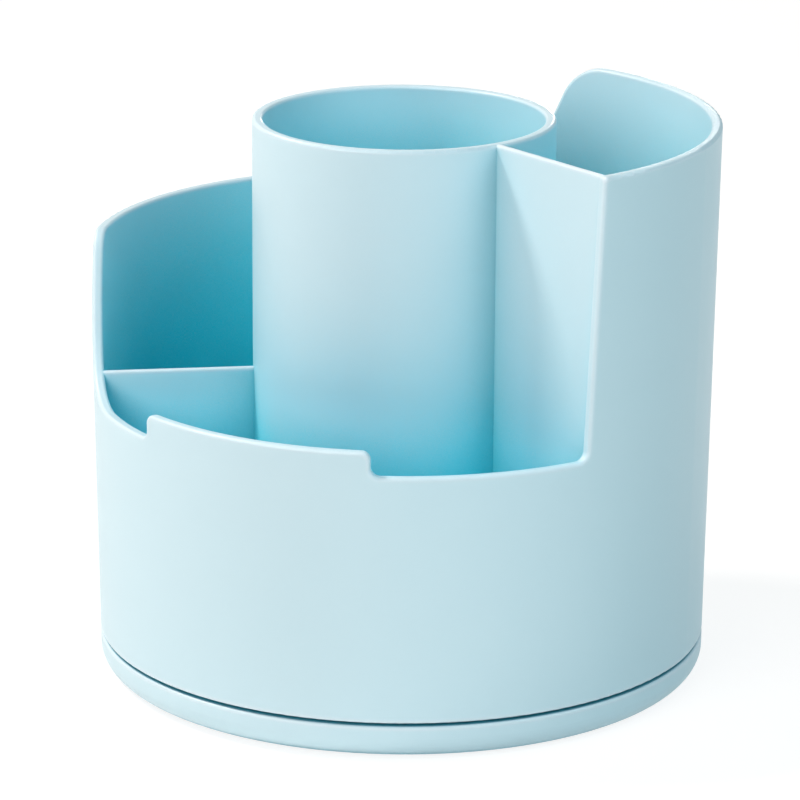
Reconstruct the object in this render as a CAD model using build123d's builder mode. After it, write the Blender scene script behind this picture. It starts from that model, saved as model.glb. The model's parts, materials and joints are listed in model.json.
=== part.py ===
from build123d import *
import os
from math import asin, atan2, cos, degrees, hypot, radians, sin, tan

os.makedirs("parts", exist_ok=True)

# Rotating desk pen holder: a drum-shaped pot with a centre tube and three compartments of
# different heights, which turns on a ball ring above a round base dish.
# Millimetres, +Z up. The origin is on the table under the pivot, and the low front
# compartment faces -Y. Azimuths are in degrees, 0 at -Y and growing towards +X.

# Pot, outer wall
total_height = 112.0  # full-height rim, tube rim and the tall partition
seam_radius = 61.0  # outer radius at the seam between pot and base
wall_draft = 1.5  # how far the wall leans out, from the seam up to the full-height rim
wall = 2.1
mid_drop = 24.9  # from the full-height rim down to the rear left compartment's rim
low_drop = 55.0  # from the full-height rim down to the front compartment's rim
rim_edge = 0.65  # softening of every rim edge
skirt_edge = 0.4  # softening of the pot's lower edge

# Pot, label tab that stands on the low front rim
tab_height = 4.9
tab_start = -30.4
tab_end = 16.9
tab_corner = 1.8
tab_foot = 1.8

# Pot, partitions that divide the ring around the tube
partition = 1.3
partition_edge = 0.5
tall_azimuth = 60.0
left_azimuth = -60.0
rear_azimuth = 180.0
left_partition_rise = 4.9  # above the front rim
rear_partition_rise = 2.8  # above the rear left rim

# Pot, steps of the rim: two slopes and one steep cut
step_slope = 65.0  # angle of both slopes above the horizontal
mid_step_lead = 13.2  # from the left partition back to the slope's upper corner
mid_shoulder = 6.0
high_step_lead = 14.2  # from the rear partition back to the slope's upper corner
high_shoulder = 11.0
step_foot = 20.0  # fillet where each slope runs into the lower rim
cut_lean = 2.3  # lean of the cut beside the tall partition
cut_cover = 0.2  # wall left in front of the tall partition at the top
cut_corner = 0.9
cut_foot = 2.0

# Pot, tube and floor
tube_radius = 29.95  # outside
tube_wall = 2.1  # at the rim
tube_draft = 0.45  # how much the bore narrows on one side, down to the floor
floor = 2.0
floor_fillet = 1.2
boss_height = 4.4  # screw bosses under the floor
boss_radius = 3.6
boss_inset = 12.0  # from the ball circle in to the circle of bosses
boss_azimuth = 0.0
plate_screw_count = 3

# Base dish
base_height = 7.2
seam_gap = 0.7
base_wall = 2.0
base_floor = 2.2
base_corner = 4.2
base_edge = 0.5
lip_gap = 1.3  # from the pot's skirt to the dust lip inside it
lip_thickness = 1.2
lip_overlap = 2.0  # height of the lip inside the skirt
underside_relief = 0.5
relief_margin = 4.0  # flat ring left around the hub and inside the feet

# Feet
foot_count = 4
foot_radius = 6.0
foot_thickness = 1.4
foot_proud = 0.4
foot_inset = 13.0  # from the base's side in to the circle of feet
foot_azimuth = 45.0
foot_edge = 0.3
foot_clearance = 0.1

# Ball ring
ball_count = 12
ball_radius = 2.0
race_inset = 8.0  # from the plate's edge in to the ball circle
race_clearance = 0.08
groove_share = 0.35  # groove depth as a share of the ball radius
track_margin = 1.0  # track beyond the cage, on each side
track_height = 1.8
cage_web = 1.25  # cage beyond its pockets, on each side
cage_gap = 0.6  # from the cage to each track
pocket_clearance = 0.15

# Turntable plate
plate_gap = 6.4  # from the plate to the dust lip
plate_thickness = 2.0
plate_rib = 1.0  # height of the ring that carries the upper groove
plate_edge = 0.5

# Pivot
spigot_radius = 5.0
spigot_clearance = 0.05
bush_wall = 1.45
bush_flange = 0.6
bush_flange_width = 2.1
press_clearance = 0.02
thrust_gap = 0.1
hub_wall = 2.0
cavity_gap = 1.0  # from the washer to the recess around it
washer_overlap = 2.0  # washer beyond the bush
washer_thickness = 1.0
pivot_boss_room = 1.4  # from the pivot boss up to the pot's floor
pivot_boss_radius = 5.5
screw_cap = 1.2  # material left above a blind screw hole
cover_thickness = 0.9
cover_overhang = 1.1  # cover flange beyond the recess
cover_ring_wall = 0.9
cover_ring_height = 1.4
cover_clearance = 0.1

# Screws
pivot_screw_radius = 2.0
pivot_head_radius = 4.0
pivot_head_height = 1.6
plate_screw_radius = 1.5
plate_head_radius = 2.8
plate_head_height = 1.7
head_room = 0.4
hole_clearance = 0.2
tip_room = 0.4
driver_slot_width = 0.9
driver_slot_reach = 0.7  # share of the head radius that the cross recess spans
driver_slot_depth = 0.55  # share of the head height
pan_round = 0.6  # share of the head height
tip_chamfer = 0.3  # share of the shank radius

# Heights that follow from the stack of pieces, from the table up
mid_rim = total_height - mid_drop
low_rim = total_height - low_drop
tab_top = low_rim + tab_height
base_bottom = foot_proud
base_floor_top = base_bottom + base_floor
skirt_bottom = base_height + seam_gap
lip_top = skirt_bottom + lip_overlap
track_top = base_floor_top + track_height
groove_radius = ball_radius + race_clearance
groove_depth = groove_share * ball_radius
ball_z = track_top - groove_depth + groove_radius
plate_rib_bottom = ball_z + groove_radius - groove_depth
plate_bottom = plate_rib_bottom + plate_rib
plate_top = plate_bottom + plate_thickness
floor_bottom = plate_top + boss_height
floor_top = floor_bottom + floor
plate_hole_top = floor_top - screw_cap
pivot_boss_top = floor_bottom - pivot_boss_room
pivot_hole_top = pivot_boss_top - screw_cap
cover_top = base_bottom + cover_thickness
washer_bottom = cover_top + head_room + pivot_head_height
spigot_bottom = washer_bottom + washer_thickness
ledge_bottom = spigot_bottom + thrust_gap
hub_top = plate_bottom - thrust_gap - bush_flange
cage_thickness = plate_rib_bottom - track_top - 2 * cage_gap

# Radii that follow, from the outside in
rim_radius = seam_radius + wall_draft  # outside of the full-height rim
tube_bore_top = tube_radius - tube_wall
tube_bore_bottom = tube_bore_top - tube_draft
lip_outer = seam_radius - wall - lip_gap
lip_inner = lip_outer - lip_thickness
foot_pitch = seam_radius - foot_inset
plate_radius = lip_inner - plate_gap
race_radius = plate_radius - race_inset
cage_half = ball_radius + pocket_clearance + cage_web
track_inner = race_radius - cage_half - track_margin
track_outer = race_radius + cage_half + track_margin
boss_pitch = race_radius - boss_inset
bush_bore = spigot_radius + spigot_clearance
bush_radius = bush_bore + bush_wall
hub_bore = bush_radius + press_clearance
washer_radius = bush_radius + washer_overlap
cavity_radius = washer_radius + cavity_gap
hub_radius = cavity_radius + hub_wall
cover_radius = cavity_radius + cover_overhang
relief_inner = cover_radius + relief_margin
relief_outer = foot_pitch - foot_radius - relief_margin

# Roundings, no larger than their walls allow
round_share = 0.4  # of a thickness or height, the most that one rounding takes
rim_round = min(rim_edge, round_share * wall)
tube_round = min(rim_edge, round_share * tube_wall)
partition_round = min(partition_edge, round_share * partition)
tab_corner_round = min(tab_corner, round_share * tab_height)
tab_foot_round = min(tab_foot, round_share * tab_height)

# Cutters that shape the wall start between tube and wall and end outside the wall
cutter_inner = (tube_radius + seam_radius) / 2
cutter_outer = max(rim_radius, seam_radius) + wall
blank_top = total_height + wall  # the wall starts taller than its rim
cutter_top = blank_top + wall
level = 0.01  # tolerance for edges at one height
from_x = -90.0  # azimuth 0 in PolarLocations, which counts from +X


def polar(azimuth, radius):
    return (radius * sin(radians(azimuth)), -radius * cos(radians(azimuth)))


def wall_plane(azimuth):
    # Upright plane that faces outwards: sketch x runs along the wall, sketch y is height
    across = (cos(radians(azimuth)), sin(radians(azimuth)), 0)
    return Plane(origin=(0, 0, 0), x_dir=across, z_dir=(*polar(azimuth, 1), 0))


def radial_plane(azimuth):
    # Upright plane through the pivot: sketch x is radius, sketch y is height
    across = (-cos(radians(azimuth)), -sin(radians(azimuth)), 0)
    return Plane(origin=(0, 0, 0), x_dir=(*polar(azimuth, 1), 0), z_dir=across)


def wall_outside(height):
    share = (height - skirt_bottom) / (total_height - skirt_bottom)
    return seam_radius + share * (rim_radius - seam_radius)


def around(along):
    # Angle at the pivot for a distance along a wall plane
    return degrees(asin(along / rim_radius))


def step_reach(left_corner, left_radius, right_corner, right_radius):
    # How far a step and its rounded corners reach along the wall plane, to each side
    rise = atan2(abs(right_corner[1] - left_corner[1]), right_corner[0] - left_corner[0])
    left_reach = left_corner[0] - left_radius * tan(rise / 2)
    right_reach = right_corner[0] + right_radius * tan(rise / 2)
    return left_reach, right_reach


def cut_step(azimuth, left_corner, left_radius, right_corner, right_radius):
    # Clears the wall above a rim that steps from one height to another at an azimuth.
    # Corners are (distance along the wall plane, height).
    left_reach, right_reach = step_reach(left_corner, left_radius, right_corner, right_radius)
    with BuildSketch(wall_plane(azimuth).offset(cutter_inner)) as opening:
        with BuildLine():
            Polyline(
                (left_reach - wall, cutter_top),
                (left_reach - wall, left_corner[1]),
                left_corner,
                right_corner,
                (right_reach + wall, right_corner[1]),
                (right_reach + wall, cutter_top),
                close=True,
            )
        make_face()
        round_corner(opening, left_corner, left_radius)
        round_corner(opening, right_corner, right_radius)
    extrude(opening.sketch, amount=cutter_outer - cutter_inner, mode=Mode.SUBTRACT)


def cut_sector(start, stop, bottom):
    # Clears the wall above a height between two azimuths
    middle = (start + stop) / 2
    with BuildSketch(Plane.XY.offset(bottom)) as sector:
        with BuildLine():
            Line(polar(start, cutter_inner), polar(start, cutter_outer))
            ThreePointArc(polar(start, cutter_outer), polar(middle, cutter_outer), polar(stop, cutter_outer))
            Line(polar(stop, cutter_outer), polar(stop, cutter_inner))
            ThreePointArc(polar(stop, cutter_inner), polar(middle, cutter_inner), polar(start, cutter_inner))
        make_face()
    extrude(sector.sketch, amount=cutter_top - bottom, mode=Mode.SUBTRACT)


def round_corner(sketch, corner, radius):
    fillet(sketch.vertices().sort_by_distance(Vector(*corner))[0], radius=radius)


def screw_body(head_radius, head_height, shank_radius, seat, tip):
    # Pan-head screw that points up, on the pivot axis, with a cross recess from below
    head_bottom = seat - head_height
    with BuildSketch(Plane.XZ) as section:
        with BuildLine():
            Polyline(
                (0, head_bottom),
                (head_radius, head_bottom),
                (head_radius, seat),
                (shank_radius, seat),
                (shank_radius, tip),
                (0, tip),
                close=True,
            )
        make_face()
        round_corner(section, (head_radius, head_bottom), pan_round * head_height)
        chamfer(section.vertices().sort_by_distance(Vector(shank_radius, tip))[0], tip_chamfer * shank_radius)
    revolve(section.sketch, axis=Axis.Z)
    with BuildSketch(Plane.XY.offset(head_bottom)) as cross:
        Rectangle(2 * driver_slot_reach * head_radius, driver_slot_width)
        Rectangle(driver_slot_width, 2 * driver_slot_reach * head_radius)
    extrude(cross.sketch, amount=driver_slot_depth * head_height, mode=Mode.SUBTRACT)


# Partitions, which become part of the pot
partition_parts = []
partition_heights = {
    tall_azimuth: total_height,
    left_azimuth: low_rim + left_partition_rise,
    rear_azimuth: mid_rim + rear_partition_rise,
}
tube_middle = (tube_radius + tube_bore_top) / 2
for azimuth, height in partition_heights.items():
    with BuildPart() as panel:
        with BuildSketch(radial_plane(azimuth)):
            with BuildLine():
                Polyline(
                    (tube_middle, floor_bottom),
                    (wall_outside(floor_bottom) - wall / 2, floor_bottom),
                    (wall_outside(height) - wall / 2, height),
                    (tube_middle, height),
                    close=True,
                )
            make_face()
        extrude(amount=partition / 2, both=True)
        top_face = panel.faces().sort_by(Axis.Z)[-1]
        fillet(top_face.edges().sort_by(SortBy.LENGTH)[-2:], radius=partition_round)
    partition_parts.append(panel.part)

# Steps of the rim, counted round from the left partition
mid_step_foot = (mid_rim - low_rim) / tan(radians(step_slope)) - mid_step_lead
high_step_foot = (total_height - mid_rim) / tan(radians(step_slope)) - high_step_lead
cut_top = -partition / 2 - cut_cover
cut_bottom = cut_top - (total_height - low_rim) * tan(radians(cut_lean))
rim_steps = [
    (left_azimuth, (-mid_step_lead, mid_rim), mid_shoulder, (mid_step_foot, low_rim), step_foot),
    (tab_start, (0, low_rim), tab_foot_round, (0, tab_top), tab_corner_round),
    (tab_end, (0, tab_top), tab_corner_round, (0, low_rim), tab_foot_round),
    (tall_azimuth, (cut_bottom, low_rim), cut_foot, (cut_top, total_height), cut_corner),
    (rear_azimuth, (-high_step_lead, total_height), high_shoulder, (high_step_foot, mid_rim), step_foot),
]

# Pot: wall with its stepped rim, then floor, tube, partitions and screw bosses
with BuildPart() as pot:
    with BuildSketch(Plane.XZ):
        with BuildLine():
            Polyline(
                (seam_radius, skirt_bottom),
                (wall_outside(blank_top), blank_top),
                (wall_outside(blank_top) - wall, blank_top),
                (seam_radius - wall, skirt_bottom),
                close=True,
            )
        make_face()
    revolve(axis=Axis.Z)
    for step, next_step in zip(rim_steps, rim_steps[1:] + rim_steps[:1]):
        azimuth, *corners = step
        next_azimuth, *next_corners = next_step
        cut_step(azimuth, *corners)
        # The rim is level from here to the next step, and the cuts overlap
        start = azimuth + around(step_reach(*corners)[1] + wall / 2)
        stop = next_azimuth + around(step_reach(*next_corners)[0] - wall / 2)
        cut_sector(start, start + (stop - start) % 360, corners[2][1])

    # Soft edges along the whole rim, inside and outside, and under the skirt
    rim_edges = ShapeList()
    for edge in pot.edges():
        ends = [hypot(point.X, point.Y) for point in (edge @ 0, edge @ 1)]
        runs_along = abs(ends[0] - ends[1]) < wall / 2
        reaches_skirt = edge.bounding_box().min.Z < low_rim - wall
        if runs_along and not reaches_skirt:
            rim_edges.append(edge)
    fillet(rim_edges, radius=rim_round)
    skirt_rim = pot.edges().group_by(Axis.Z)[0].sort_by(SortBy.RADIUS)[-1]
    fillet(skirt_rim, radius=skirt_edge)

    with BuildSketch(Plane.XY.offset(floor_bottom)):
        Circle(wall_outside(floor_bottom) - wall / 2)
    extrude(amount=floor)
    with BuildSketch(Plane.XZ) as tube_section:
        with BuildLine():
            Polyline(
                (tube_bore_bottom, floor_bottom),
                (tube_radius, floor_bottom),
                (tube_radius, total_height),
                (tube_bore_top, total_height),
                close=True,
            )
        make_face()
        round_corner(tube_section, (tube_radius, total_height), tube_round)
        round_corner(tube_section, (tube_bore_top, total_height), tube_round)
    revolve(axis=Axis.Z)
    add(partition_parts)
    floor_edges = pot.edges().filter_by_position(Axis.Z, floor_top - level, floor_top + level)
    fillet(floor_edges, radius=floor_fillet)

    with BuildSketch(Plane.XY.offset(plate_top)):
        with PolarLocations(boss_pitch, plate_screw_count, boss_azimuth + from_x):
            Circle(boss_radius)
    extrude(amount=boss_height)
    with BuildSketch(Plane.XY.offset(plate_top)):
        with PolarLocations(boss_pitch, plate_screw_count, boss_azimuth + from_x):
            Circle(plate_screw_radius + press_clearance)
    extrude(amount=plate_hole_top - plate_top, mode=Mode.SUBTRACT)
pot.part.label = "pot_body"
export_step(pot.part, "parts/pot_body.step")

# Turntable plate: screwed under the pot, with the upper ball groove and the pivot spigot
with BuildPart() as plate:
    with BuildSketch(Plane.XZ) as plate_section:
        with BuildLine():
            Polyline(
                (0, spigot_bottom),
                (spigot_radius, spigot_bottom),
                (spigot_radius, plate_bottom),
                (track_inner, plate_bottom),
                (track_inner, plate_rib_bottom),
                (track_outer, plate_rib_bottom),
                (track_outer, plate_bottom),
                (plate_radius, plate_bottom),
                (plate_radius, plate_top),
                (pivot_boss_radius, plate_top),
                (pivot_boss_radius, pivot_boss_top),
                (0, pivot_boss_top),
                close=True,
            )
        make_face()
        round_corner(plate_section, (plate_radius, plate_bottom), plate_edge)
        round_corner(plate_section, (plate_radius, plate_top), plate_edge)
    revolve(axis=Axis.Z)
    with Locations((0, 0, ball_z)):
        Torus(race_radius, groove_radius, mode=Mode.SUBTRACT)
    with BuildSketch(Plane.XY.offset(spigot_bottom)):
        Circle(pivot_screw_radius + press_clearance)
    extrude(amount=pivot_hole_top - spigot_bottom, mode=Mode.SUBTRACT)
    with BuildSketch(Plane.XY.offset(plate_bottom)):
        with PolarLocations(boss_pitch, plate_screw_count, boss_azimuth + from_x):
            Circle(plate_screw_radius + hole_clearance)
    extrude(amount=plate_thickness, mode=Mode.SUBTRACT)
plate.part.label = "turntable_plate"
export_step(plate.part, "parts/turntable_plate.step")

# Screws that hold the plate to the bosses, as one group
with BuildPart() as plate_screw:
    plate_tip = plate_hole_top - tip_room
    screw_body(plate_head_radius, plate_head_height, plate_screw_radius, plate_bottom, plate_tip)
with BuildPart() as plate_screws:
    with PolarLocations(boss_pitch, plate_screw_count, boss_azimuth + from_x):
        add(plate_screw.part)
plate_screws.part.label = "plate_screws"
export_step(plate_screws.part, "parts/plate_screws.step")

# Base dish: outer ring, dust lip, lower ball track and pivot hub
with BuildPart() as base:
    with BuildSketch(Plane.XZ) as base_section:
        with BuildLine():
            Polyline(
                (hub_bore, ledge_bottom),
                (cavity_radius, ledge_bottom),
                (cavity_radius, cover_top),
                (cover_radius + cover_clearance, cover_top),
                (cover_radius + cover_clearance, base_bottom),
                (relief_inner, base_bottom),
                (relief_inner, base_bottom + underside_relief),
                (relief_outer, base_bottom + underside_relief),
                (relief_outer, base_bottom),
                (seam_radius, base_bottom),
                (seam_radius, base_height),
                (seam_radius - base_wall, base_height),
                (seam_radius - base_wall, base_floor_top),
                (lip_outer, base_floor_top),
                (lip_outer, lip_top),
                (lip_inner, lip_top),
                (lip_inner, base_floor_top),
                (track_outer, base_floor_top),
                (track_outer, track_top),
                (track_inner, track_top),
                (track_inner, base_floor_top),
                (hub_radius, base_floor_top),
                (hub_radius, hub_top),
                (hub_bore, hub_top),
                close=True,
            )
        make_face()
        round_corner(base_section, (seam_radius, base_bottom), base_corner)
        round_corner(base_section, (seam_radius, base_height), base_edge)
    revolve(axis=Axis.Z)
    with Locations((0, 0, ball_z)):
        Torus(race_radius, groove_radius, mode=Mode.SUBTRACT)
    with BuildSketch(Plane.XY.offset(base_bottom)):
        with PolarLocations(foot_pitch, foot_count, foot_azimuth + from_x):
            Circle(foot_radius + foot_clearance)
    extrude(amount=foot_thickness - foot_proud, mode=Mode.SUBTRACT)
base.part.label = "base_dish"
export_step(base.part, "parts/base_dish.step")

# Flanged bush in the hub, around the spigot
with BuildPart() as bush:
    with BuildSketch(Plane.XZ):
        with BuildLine():
            Polyline(
                (bush_bore, ledge_bottom),
                (bush_radius, ledge_bottom),
                (bush_radius, hub_top),
                (bush_radius + bush_flange_width, hub_top),
                (bush_radius + bush_flange_width, hub_top + bush_flange),
                (bush_bore, hub_top + bush_flange),
                close=True,
            )
        make_face()
    revolve(axis=Axis.Z)
bush.part.label = "pivot_bush"
export_step(bush.part, "parts/pivot_bush.step")

# Washer under the hub ledge, which keeps the pot from lifting off
with BuildPart() as washer:
    with BuildSketch(Plane.XY.offset(washer_bottom)):
        Circle(washer_radius)
        Circle(pivot_screw_radius + hole_clearance, mode=Mode.SUBTRACT)
    extrude(amount=washer_thickness)
washer.part.label = "retaining_washer"
export_step(washer.part, "parts/retaining_washer.step")

# Screw up through the washer into the spigot
with BuildPart() as pivot_screw:
    pivot_tip = pivot_hole_top - tip_room
    screw_body(pivot_head_radius, pivot_head_height, pivot_screw_radius, washer_bottom, pivot_tip)
pivot_screw.part.label = "pivot_screw"
export_step(pivot_screw.part, "parts/pivot_screw.step")

# Cover that closes the recess under the hub
with BuildPart() as cover:
    with BuildSketch(Plane.XY.offset(base_bottom)):
        Circle(cover_radius)
    extrude(amount=cover_thickness)
    with BuildSketch(Plane.XY.offset(cover_top)):
        Circle(cavity_radius - press_clearance)
        Circle(cavity_radius - press_clearance - cover_ring_wall, mode=Mode.SUBTRACT)
    extrude(amount=cover_ring_height)
cover.part.label = "hub_cover"
export_step(cover.part, "parts/hub_cover.step")

# Ball cage
with BuildPart() as cage:
    with BuildSketch(Plane.XY.offset(ball_z - cage_thickness / 2)):
        Circle(race_radius + cage_half)
        Circle(race_radius - cage_half, mode=Mode.SUBTRACT)
        with PolarLocations(race_radius, ball_count):
            Circle(ball_radius + pocket_clearance, mode=Mode.SUBTRACT)
    extrude(amount=cage_thickness)
cage.part.label = "ball_cage"
export_step(cage.part, "parts/ball_cage.step")

# Bearing balls, one in each pocket
for number in range(ball_count):
    with BuildPart() as ball:
        with Locations((*polar(number * 360 / ball_count - from_x, race_radius), ball_z)):
            Sphere(ball_radius)
    ball.part.label = f"bearing_ball_{number + 1:02d}"
    export_step(ball.part, f"parts/{ball.part.label}.step")

# Foot pads, glued into shallow recesses under the base
for number in range(foot_count):
    with BuildPart() as foot:
        with BuildSketch(Plane.XY):
            with Locations(polar(foot_azimuth + number * 360 / foot_count, foot_pitch)):
                Circle(foot_radius)
        extrude(amount=foot_thickness)
        fillet(foot.edges().group_by(Axis.Z)[0], radius=foot_edge)
    foot.part.label = f"foot_pad_{number + 1}"
    export_step(foot.part, f"parts/{foot.part.label}.step")
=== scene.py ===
import bpy
import bmesh
import json
from math import cos, pi, radians, sin
from mathutils import Matrix, Vector


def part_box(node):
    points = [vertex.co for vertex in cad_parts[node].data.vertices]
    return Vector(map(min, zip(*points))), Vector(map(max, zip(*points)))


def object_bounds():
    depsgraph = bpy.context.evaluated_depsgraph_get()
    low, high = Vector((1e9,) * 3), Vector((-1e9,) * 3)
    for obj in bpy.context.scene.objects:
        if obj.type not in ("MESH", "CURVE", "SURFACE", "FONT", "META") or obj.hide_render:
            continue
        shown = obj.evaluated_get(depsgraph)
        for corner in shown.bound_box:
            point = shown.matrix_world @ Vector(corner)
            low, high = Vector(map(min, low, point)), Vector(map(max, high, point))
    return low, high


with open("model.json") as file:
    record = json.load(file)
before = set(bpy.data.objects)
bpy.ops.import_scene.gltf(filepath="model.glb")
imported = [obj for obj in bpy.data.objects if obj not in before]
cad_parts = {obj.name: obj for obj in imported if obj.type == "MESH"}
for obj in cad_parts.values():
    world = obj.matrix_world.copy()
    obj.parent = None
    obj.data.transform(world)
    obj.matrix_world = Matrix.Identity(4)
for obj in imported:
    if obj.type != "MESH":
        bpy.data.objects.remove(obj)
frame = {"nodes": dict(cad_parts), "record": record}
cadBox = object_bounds()
nodes = frame["nodes"]


def addNode(tree, kind, spot, **sockets):
    node = tree.nodes.new(kind)
    node.location = spot
    for name, value in sockets.items():
        node.inputs[name].default_value = value
    return node


def newGroup(name, inputs, outputs):
    tree = bpy.data.node_groups.new(name, "ShaderNodeTree")
    for label, value in inputs.items():
        socket = tree.interface.new_socket(name=label, in_out="INPUT", socket_type="NodeSocketFloat")
        socket.default_value = value
    for label in outputs:
        tree.interface.new_socket(name=label, in_out="OUTPUT", socket_type="NodeSocketFloat")
    source = addNode(tree, "NodeGroupInput", (-1400, 0))
    result = addNode(tree, "NodeGroupOutput", (800, 0))
    return tree, source, result


def calculate(tree, operation, spot, *terms):
    node = addNode(tree, "ShaderNodeMath", spot)
    node.operation = operation
    for socket, term in zip(node.inputs, terms):
        if isinstance(term, (int, float)):
            socket.default_value = term
        else:
            tree.links.new(term, socket)
    return node.outputs["Value"]


def noiseOf(tree, coordinate, scale, detail, spot):
    noise = addNode(tree, "ShaderNodeTexNoise", spot, Detail=detail)
    tree.links.new(coordinate, noise.inputs["Vector"])
    tree.links.new(scale, noise.inputs["Scale"])
    return noise.outputs["Fac"]


def flatLength(tree, across, along, spot):
    flat = addNode(tree, "ShaderNodeCombineXYZ", spot)
    tree.links.new(across, flat.inputs["X"])
    tree.links.new(along, flat.inputs["Y"])
    length = addNode(tree, "ShaderNodeVectorMath", (spot[0] + 150, spot[1]))
    length.operation = "LENGTH"
    tree.links.new(flat.outputs["Vector"], length.inputs[0])
    return length.outputs["Value"]


noiseDetail = {"grain": 3.0, "flow": 4.0, "rings": 2.0, "clouds": 4.0}


# Skin of a moulding: fine grain from the spark-eroded mould, slow clouds from the flow of the melt
def mouldedSkinGroup():
    scales = {"Grain Scale": 2400.0, "Flow Scale": 26.0}
    tree, source, result = newGroup("mouldedSkin", scales, ("Grain", "Flow"))
    place = addNode(tree, "ShaderNodeTexCoord", (-1400, -300)).outputs["Object"]
    grain = noiseOf(tree, place, source.outputs["Grain Scale"], noiseDetail["grain"], (-500, 200))
    flow = noiseOf(tree, place, source.outputs["Flow Scale"], noiseDetail["flow"], (-500, -200))
    tree.links.new(grain, result.inputs["Grain"])
    tree.links.new(flow, result.inputs["Flow"])
    return tree


# Fine rings round a turned piece, and clouds in its plating. Copies of a piece stand on a circle of the
# given pitch, a sector apart, and each has its rings round its own centre
def turnedMetalGroup():
    tree, source, result = newGroup(
        "turnedMetal",
        {"Ring Scale": 9000.0, "Cloud Scale": 300.0, "Pitch": 0.0, "Sector": 2 * pi},
        ("Rings", "Clouds"),
    )
    place = addNode(tree, "ShaderNodeTexCoord", (-1400, -300)).outputs["Object"]
    axes = addNode(tree, "ShaderNodeSeparateXYZ", (-1200, -100))
    tree.links.new(place, axes.inputs["Vector"])
    across, along = axes.outputs["X"], axes.outputs["Y"]
    ahead = calculate(tree, "MULTIPLY", (-1000, -250), along, -1.0)
    angle = calculate(tree, "ARCTAN2", (-1000, 200), across, ahead)
    halfSector = calculate(tree, "MULTIPLY", (-1000, 350), source.outputs["Sector"], 0.5)
    shifted = calculate(tree, "ADD", (-800, 200), angle, halfSector)
    copyAngle = calculate(tree, "SNAP", (-600, 300), shifted, source.outputs["Sector"])
    turn = calculate(tree, "SUBTRACT", (-400, 300), angle, copyAngle)
    reach = flatLength(tree, across, along, (-800, -50))
    sideways = calculate(tree, "MULTIPLY", (-200, 300), reach, calculate(tree, "SINE", (-300, 350), turn))
    outwards = calculate(tree, "MULTIPLY", (-200, 100), reach, calculate(tree, "COSINE", (-300, 150), turn))
    offset = calculate(tree, "SUBTRACT", (0, 100), outwards, source.outputs["Pitch"])
    rings = addNode(tree, "ShaderNodeTexNoise", (500, 200), Detail=noiseDetail["rings"])
    rings.noise_dimensions = "1D"
    tree.links.new(flatLength(tree, sideways, offset, (150, 200)), rings.inputs["W"])
    tree.links.new(source.outputs["Ring Scale"], rings.inputs["Scale"])
    tree.links.new(rings.outputs["Fac"], result.inputs["Rings"])
    clouds = noiseOf(tree, place, source.outputs["Cloud Scale"], noiseDetail["clouds"], (500, -200))
    tree.links.new(clouds, result.inputs["Clouds"])
    return tree


skinGroup = mouldedSkinGroup()
turnedGroup = turnedMetalGroup()
print("surface groups built")


def newMaterial(name, sockets):
    material = bpy.data.materials.new(name)
    material.use_nodes = True
    tree = material.node_tree
    shader = tree.nodes["Principled BSDF"]
    for label, value in sockets.items():
        shader.inputs[label].default_value = value
    return material, tree, shader


def placeGroup(tree, group, spot, values):
    node = addNode(tree, "ShaderNodeGroup", spot)
    node.node_tree = group
    for label, value in values.items():
        node.inputs[label].default_value = value
    return node.outputs


def blend(tree, mask, first, second, spot):
    mix = addNode(tree, "ShaderNodeMix", spot)
    mix.data_type = "RGBA"
    for label, colour in (("A", first), ("B", second)):
        if isinstance(colour, tuple):
            mix.inputs[label].default_value = (*colour, 1)
        else:
            tree.links.new(colour, mix.inputs[label])
    tree.links.new(mask, mix.inputs["Factor"])
    return mix.outputs["Result"]


def remap(tree, mask, reads, gives, spot):
    node = addNode(tree, "ShaderNodeMapRange", spot)
    node.inputs["From Min"].default_value = reads[0]
    node.inputs["From Max"].default_value = reads[1]
    node.inputs["To Min"].default_value = gives[0]
    node.inputs["To Max"].default_value = gives[1]
    tree.links.new(mask, node.inputs["Value"])
    return node.outputs["Result"]


def raiseSurface(tree, height, strength, distance, shader, spot):
    node = addNode(tree, "ShaderNodeBump", spot, Strength=strength, Distance=distance)
    tree.links.new(height, node.inputs["Height"])
    tree.links.new(node.outputs["Normal"], shader.inputs["Normal"])


opennessSamples = 8


# How open a spot is, from 0 deep in a gap to 1 on an outer face. Measured inside the piece it tells how
# thick the piece is under the spot, from 0 on a sharp edge to 1 on a wall
def opennessOf(tree, reach, spot, ownPieceOnly=True, inside=False):
    node = addNode(tree, "ShaderNodeAmbientOcclusion", spot, Distance=reach)
    node.only_local = ownPieceOnly
    node.inside = inside
    node.samples = opennessSamples
    return node.outputs["AO"]


def toneRamp(tree, mask, tones, spot):
    node = addNode(tree, "ShaderNodeValToRGB", spot)
    stops = node.color_ramp.elements
    while len(stops) < len(tones):
        stops.new(1.0)
    for stop, (place, tone) in zip(stops, tones):
        stop.position = place
        stop.color = (*tone, 1)
    tree.links.new(mask, node.inputs["Fac"])
    return node.outputs["Color"]


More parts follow.
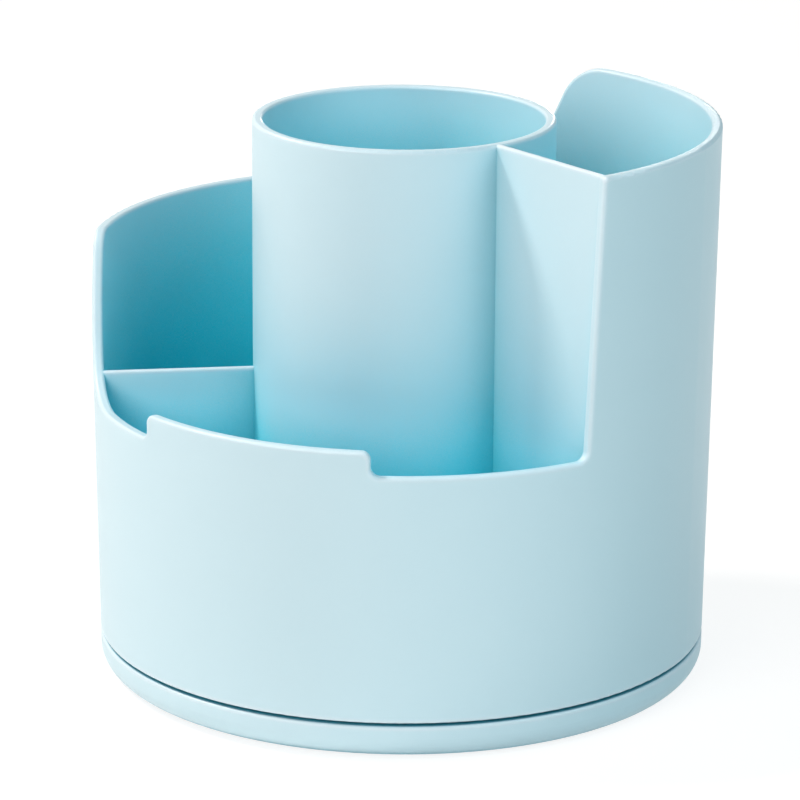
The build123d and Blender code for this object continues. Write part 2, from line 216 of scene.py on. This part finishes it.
# Pale aqua plastic. Between close walls light is handed from wall to wall and the colour deepens; this is
# painted into the colour as painted shade, most of all in corners and in the seam, and thin rims get a paler
# painted highlight
aquaFinish = {
    # painted shade: the tone deepens and darkens where the pot is less open, standing in for light handed
    # between walls
    "paintedHollowShadeTones": (  # openness, and the tone there
        (0.12, (0.002, 0.70, 0.84)),
        (0.22, (0.06, 0.73, 0.885)),
        (0.32, (0.35, 0.79, 0.90)),
        (0.45, (0.405, 0.757, 0.881)),
        (0.85, (0.525, 0.732, 0.823)),
    ),
    "paintedHollowShadeReach": 0.08,
    # painted shade in inner corners: a darker teal laid where walls stand close within a short reach
    "paintedCornerShadeTone": (0.12, 0.33, 0.39),
    "paintedCornerShadeReach": 0.015,
    "paintedCornerShadeOpenness": (0.35, 0.85),
    "paintedCornerShadeShare": (0.4, 1.0),  # how much of the wall's own tone is left
    # painted shade in the seam: a dark teal laid where the pot comes close to another piece
    "paintedSeamShadeTone": (0.0, 0.34, 0.46),
    "paintedSeamShadeReach": 0.003,
    "paintedSeamShadeOpenness": (0.15, 0.55),
    # painted highlight on thin rims: a paler tone standing in for light they let through
    "paintedRimHighlightTone": (0.70, 0.80, 0.88),
    "paintedRimHighlightReach": 0.0012,
    "paintedRimHighlightThickness": (0.55, 0.92),
    "flowTone": (0.90, 0.96, 0.98),
    "flowShare": (0.0, 0.03),
    "gloss": (0.36, 0.44),
    "grainScale": 2400.0,
    "flowScale": 26.0,
    "grainDepth": 0.00002,
    "grainStrength": 0.25,
    "shader": {"IOR": 1.5},
}
flowReads = (0.3, 0.7)  # the middle of a noise's values, where most of them lie


def aquaPlastic(finish):
    material, tree, shader = newMaterial("aquaPlastic", finish["shader"])
    scales = {"Grain Scale": finish["grainScale"], "Flow Scale": finish["flowScale"]}
    skin = placeGroup(tree, skinGroup, (-1300, 0), scales)
    hollow = opennessOf(tree, finish["paintedHollowShadeReach"], (-1300, 500))
    corner = opennessOf(tree, finish["paintedCornerShadeReach"], (-1300, 900))
    edge = opennessOf(tree, finish["paintedRimHighlightReach"], (-1300, 700), inside=True)
    seam = opennessOf(tree, finish["paintedSeamShadeReach"], (-1300, 300), ownPieceOnly=False)
    flow = remap(tree, skin["Flow"], flowReads, finish["flowShare"], (-1000, 50))
    clearOfCornerShade = remap(tree, corner, finish["paintedCornerShadeOpenness"], finish["paintedCornerShadeShare"], (-1000, 950))
    clearOfRimHighlight = remap(tree, edge, finish["paintedRimHighlightThickness"], (0, 1), (-1000, 750))
    clearOfSeamShade = remap(tree, seam, finish["paintedSeamShadeOpenness"], (0, 1), (-1000, 250))
    # painted shade of the hollows goes into the base colour
    tone = toneRamp(tree, hollow, finish["paintedHollowShadeTones"], (-1000, 500))
    tone = blend(tree, flow, tone, finish["flowTone"], (-700, 500))
    # painted shade in inner corners
    tone = blend(tree, clearOfCornerShade, finish["paintedCornerShadeTone"], tone, (-550, 500))
    # painted highlight on thin rims
    tone = blend(tree, clearOfRimHighlight, finish["paintedRimHighlightTone"], tone, (-400, 500))
    # painted shade in the seam between pieces
    tone = blend(tree, clearOfSeamShade, finish["paintedSeamShadeTone"], tone, (-250, 500))
    tree.links.new(tone, shader.inputs["Base Color"])
    gloss = remap(tree, skin["Flow"], flowReads, finish["gloss"], (-600, 100))
    tree.links.new(gloss, shader.inputs["Roughness"])
    raiseSurface(tree, skin["Grain"], finish["grainStrength"], finish["grainDepth"], shader, (-600, -200))
    return material


# Plain mouldings inside and underneath: tones and gloss follow the flow of the melt
plateFinish = {
    "tones": ((0.66, 0.68, 0.665), (0.75, 0.765, 0.75)),
    "gloss": (0.42, 0.50),
    "grainScale": 1800.0,
    "flowScale": 34.0,
    "grainDepth": 0.00003,
    "grainStrength": 0.35,
    "shader": {"IOR": 1.5},
}
acetalFinish = {
    "tones": ((0.78, 0.775, 0.725), (0.85, 0.845, 0.80)),
    "gloss": (0.28, 0.36),
    "grainScale": 3000.0,
    "flowScale": 90.0,
    "grainDepth": 0.00001,
    "grainStrength": 0.15,
    "shader": {"IOR": 1.48},
}
rubberFinish = {
    "tones": ((0.055, 0.058, 0.062), (0.085, 0.088, 0.092)),
    "gloss": (0.72, 0.88),
    "grainScale": 1500.0,
    "flowScale": 160.0,
    "grainDepth": 0.00008,
    "grainStrength": 0.6,
    "shader": {"IOR": 1.52, "Specular IOR Level": 0.35},
}


def plainMoulding(name, finish):
    material, tree, shader = newMaterial(name, finish["shader"])
    scales = {"Grain Scale": finish["grainScale"], "Flow Scale": finish["flowScale"]}
    skin = placeGroup(tree, skinGroup, (-1000, 0), scales)
    flow = remap(tree, skin["Flow"], flowReads, (0, 1), (-700, 300))
    tree.links.new(blend(tree, flow, *finish["tones"], (-400, 300)), shader.inputs["Base Color"])
    gloss = remap(tree, skin["Flow"], flowReads, finish["gloss"], (-400, 0))
    tree.links.new(gloss, shader.inputs["Roughness"])
    raiseSurface(tree, skin["Grain"], finish["grainStrength"], finish["grainDepth"], shader, (-400, -300))
    return material


# Turned steel: bright zinc plate on the screws and the washer, a polish with faint scuffs on the balls
zincFinish = {
    "tones": ((0.42, 0.44, 0.46), (0.56, 0.58, 0.60)),
    "gloss": (0.22, 0.38),
    "ringScale": 9000.0,
    "cloudScale": 420.0,
    "ringDepth": 0.000015,
    "ringStrength": 0.3,
}
ballFinish = {
    "tones": ((0.54, 0.55, 0.56), (0.62, 0.62, 0.62)),
    "gloss": (0.06, 0.14),
    "ringScale": 4000.0,
    "cloudScale": 900.0,
    "ringDepth": 0.000002,
    "ringStrength": 0.1,
}


def turnedSteel(name, finish, pitch=0.0, copies=1):
    material, tree, shader = newMaterial(name, {"Metallic": 1.0})
    values = {"Ring Scale": finish["ringScale"], "Cloud Scale": finish["cloudScale"]}
    marks = placeGroup(tree, turnedGroup, (-1000, 0), {**values, "Pitch": pitch, "Sector": 2 * pi / copies})
    clouds = remap(tree, marks["Clouds"], flowReads, (0, 1), (-700, 300))
    tree.links.new(blend(tree, clouds, *finish["tones"], (-400, 300)), shader.inputs["Base Color"])
    gloss = remap(tree, marks["Rings"], flowReads, finish["gloss"], (-400, 0))
    tree.links.new(gloss, shader.inputs["Roughness"])
    raiseSurface(tree, marks["Rings"], finish["ringStrength"], finish["ringDepth"], shader, (-400, -300))
    return material


# The three plate screws stand 120 degrees apart with one of them on the front axis, so that their
# box is wider than deep by a set share of their pitch
screwCount = 3
widthOverDepth = 3 ** 0.5 - 1.5


def screwPitch():
    low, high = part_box("plate_screws")
    return ((high[0] - low[0]) - (high[1] - low[1])) / widthOverDepth


balls = [name for name in nodes if name.startswith("bearing_ball")]


def ballPitch():
    low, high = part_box(balls[0])
    return (Vector(low) + Vector(high)).xy.length / 2


finishes = {
    "aqua_plastic": aquaPlastic(aquaFinish),
    "inner_plastic": plainMoulding("innerPlastic", plateFinish),
    "bearing_plastic": plainMoulding("naturalAcetal", acetalFinish),
    "foot_rubber": plainMoulding("footRubber", rubberFinish),
    "zinc_steel": turnedSteel("zincSteel", zincFinish),
    "ball_steel": turnedSteel("ballSteel", ballFinish, ballPitch(), len(balls)),
}
ownFinishes = {"plate_screws": turnedSteel("screwSteel", zincFinish, screwPitch(), screwCount)}
for piece in frame["record"]["subparts"]:
    mesh = nodes[piece["node"]].data
    mesh.materials.clear()
    mesh.materials.append(ownFinishes.get(piece["node"], finishes[piece["material_slot"]]))
print("finishes given to", len(nodes), "pieces")


# 1 where the camera, a reflection or clear material looks on, 0 for the light that is handed on
def seenDirectly(tree, spot):
    rays = addNode(tree, "ShaderNodeLightPath", spot)
    mask = rays.outputs["Is Camera Ray"]
    for step, kind in enumerate(("Is Glossy Ray", "Is Transmission Ray")):
        mask = calculate(tree, "MAXIMUM", (spot[0] + 200 * (step + 1), spot[1]), mask, rays.outputs[kind])
    return mask


# Floor, pale and plain, which keeps a light shadow under the pot
floorPlan = {
    "reach": 6.0,
    "tone": (0.90, 0.89, 0.87),  # what it hands on to the pot
    "shadowTone": (0.25, 0.25, 0.25),
    "glow": 0.85,
}


def whiteFloor(plan):
    material = bpy.data.materials.new("whiteFloor")
    material.use_nodes = True
    tree = material.node_tree
    tree.nodes.clear()
    output = addNode(tree, "ShaderNodeOutputMaterial", (600, 0))
    lit = addNode(tree, "ShaderNodeBsdfDiffuse", (0, 200), Color=(*plan["tone"], 1))
    shade = addNode(tree, "ShaderNodeBsdfDiffuse", (-200, 0), Color=(*plan["shadowTone"], 1))
    glow = addNode(tree, "ShaderNodeEmission", (-200, -200), Strength=plan["glow"])
    both = addNode(tree, "ShaderNodeAddShader", (0, -100))
    tree.links.new(shade.outputs["BSDF"], both.inputs[0])
    tree.links.new(glow.outputs["Emission"], both.inputs[1])
    mix = addNode(tree, "ShaderNodeMixShader", (300, 0))
    tree.links.new(seenDirectly(tree, (-900, 300)), mix.inputs["Fac"])
    tree.links.new(lit.outputs["BSDF"], mix.inputs[1])
    tree.links.new(both.outputs["Shader"], mix.inputs[2])
    tree.links.new(mix.outputs["Shader"], output.inputs["Surface"])
    return material


def makeFloor(plan):
    shape = bmesh.new()
    bmesh.ops.create_grid(shape, x_segments=1, y_segments=1, size=plan["reach"])
    mesh = bpy.data.meshes.new("floor")
    shape.to_mesh(mesh)
    shape.free()
    floor = bpy.data.objects.new("floor", mesh)
    bpy.context.scene.collection.objects.link(floor)
    mesh.materials.append(whiteFloor(plan))


makeFloor(floorPlan)
print("floor laid")

# Lights are placed by azimuth (0 in front, growing to the right), elevation and distance from the pot
lamps = {
    "keyLight": {
        "azimuth": -81.0, "elevation": 50.0, "distance": 1.1, "size": 0.20,
        "power": 8.6, "tint": (1.0, 0.89, 0.82),
    },
    "frontSoft": {
        "azimuth": -10.0, "elevation": 25.0, "distance": 1.4, "size": 1.0,
        "power": 11.8, "tint": (1.0, 0.90, 0.86),
    },
    "frontRightFill": {
        "azimuth": 50.0, "elevation": 22.0, "distance": 1.4, "size": 1.0,
        "power": 1.3, "tint": (0.75, 0.97, 1.0),
    },
    "rightFill": {
        "azimuth": 78.0, "elevation": 25.0, "distance": 1.4, "size": 1.0,
        "power": 3.7, "tint": (0.75, 0.99, 1.0),
    },
    "rightHighFill": {
        "azimuth": 88.0, "elevation": 48.0, "distance": 1.3, "size": 0.9,
        "power": 3.3, "tint": (0.70, 0.91, 1.0),
    },
    "leftBackFill": {
        "azimuth": -115.0, "elevation": 22.0, "distance": 1.3, "size": 1.0,
        "power": 1.5, "tint": (1.0, 0.96, 0.90),
    },
    "topSoft": {
        "azimuth": 0.0, "elevation": 88.0, "distance": 1.2, "size": 0.9,
        "power": 0.6, "tint": (1.0, 1.0, 1.0),
    },
    "rearFill": {
        "azimuth": 195.0, "elevation": 3.0, "distance": 1.3, "size": 0.12,
        "power": 2.0, "tint": (1.0, 0.98, 0.96),
    },
}
potMiddle = (cadBox[0] + cadBox[1]) / 2


def aimFrom(azimuth, elevation):
    across = cos(radians(elevation))
    return Vector((sin(radians(azimuth)) * across, -cos(radians(azimuth)) * across, sin(radians(elevation))))


# Where an object stands that looks at a point from the given side
def lookingAt(point, back, distance):
    return Matrix.Translation(point + back * distance) @ back.to_track_quat("Z", "Y").to_matrix().to_4x4()


def makeLamp(name, plan):
    lamp = bpy.data.lights.new(name, "AREA")
    lamp.shape = "DISK"
    lamp.size = plan["size"]
    lamp.energy = plan["power"]
    lamp.color = plan["tint"]
    holder = bpy.data.objects.new(name, lamp)
    bpy.context.scene.collection.objects.link(holder)
    holder.matrix_world = lookingAt(potMiddle, aimFrom(plan["azimuth"], plan["elevation"]), plan["distance"])


# The room is white to look at and gives no light of its own
def whiteWorld():
    world = bpy.data.worlds.new("studio")
    bpy.context.scene.world = world
    world.use_nodes = True
    tree = world.node_tree
    tree.nodes.clear()
    output = addNode(tree, "ShaderNodeOutputWorld", (300, 0))
    white = addNode(tree, "ShaderNodeBackground", (0, 0), Color=(1, 1, 1, 1))
    tree.links.new(seenDirectly(tree, (-900, 0)), white.inputs["Strength"])
    tree.links.new(white.outputs["Background"], output.inputs["Surface"])


for lampName, lampPlan in lamps.items():
    makeLamp(lampName, lampPlan)
whiteWorld()
print("lights placed:", len(lamps))

# Camera at the photographed angle: a long lens, a little above the pot
cameraView = {
    "azimuth": 22.5,
    "elevation": 16.638,
    "distance": 0.8438,
    "aimHeight": 0.05385,
    "aimAcross": -0.00053,
    "lens": 189.4,
    "sensor": 36.0,
    "roll": 0.312,
    "clip": (0.01, 50.0),
}


def makeCamera(plan):
    camera = bpy.data.cameras.new("photoCamera")
    camera.lens = plan["lens"]
    camera.sensor_width = plan["sensor"]
    camera.clip_start, camera.clip_end = plan["clip"]
    holder = bpy.data.objects.new("photoCamera", camera)
    bpy.context.scene.collection.objects.link(holder)
    turn = radians(plan["azimuth"])
    aim = Vector((cos(turn), sin(turn), 0)) * plan["aimAcross"] + Vector((0, 0, plan["aimHeight"]))
    facing = lookingAt(aim, aimFrom(plan["azimuth"], plan["elevation"]), plan["distance"])
    holder.matrix_world = facing @ Matrix.Rotation(radians(plan["roll"]), 4, "Z")
    bpy.context.scene.camera = holder


makeCamera(cameraView)
bpy.context.scene.view_settings.view_transform = "Standard"
print("camera set")
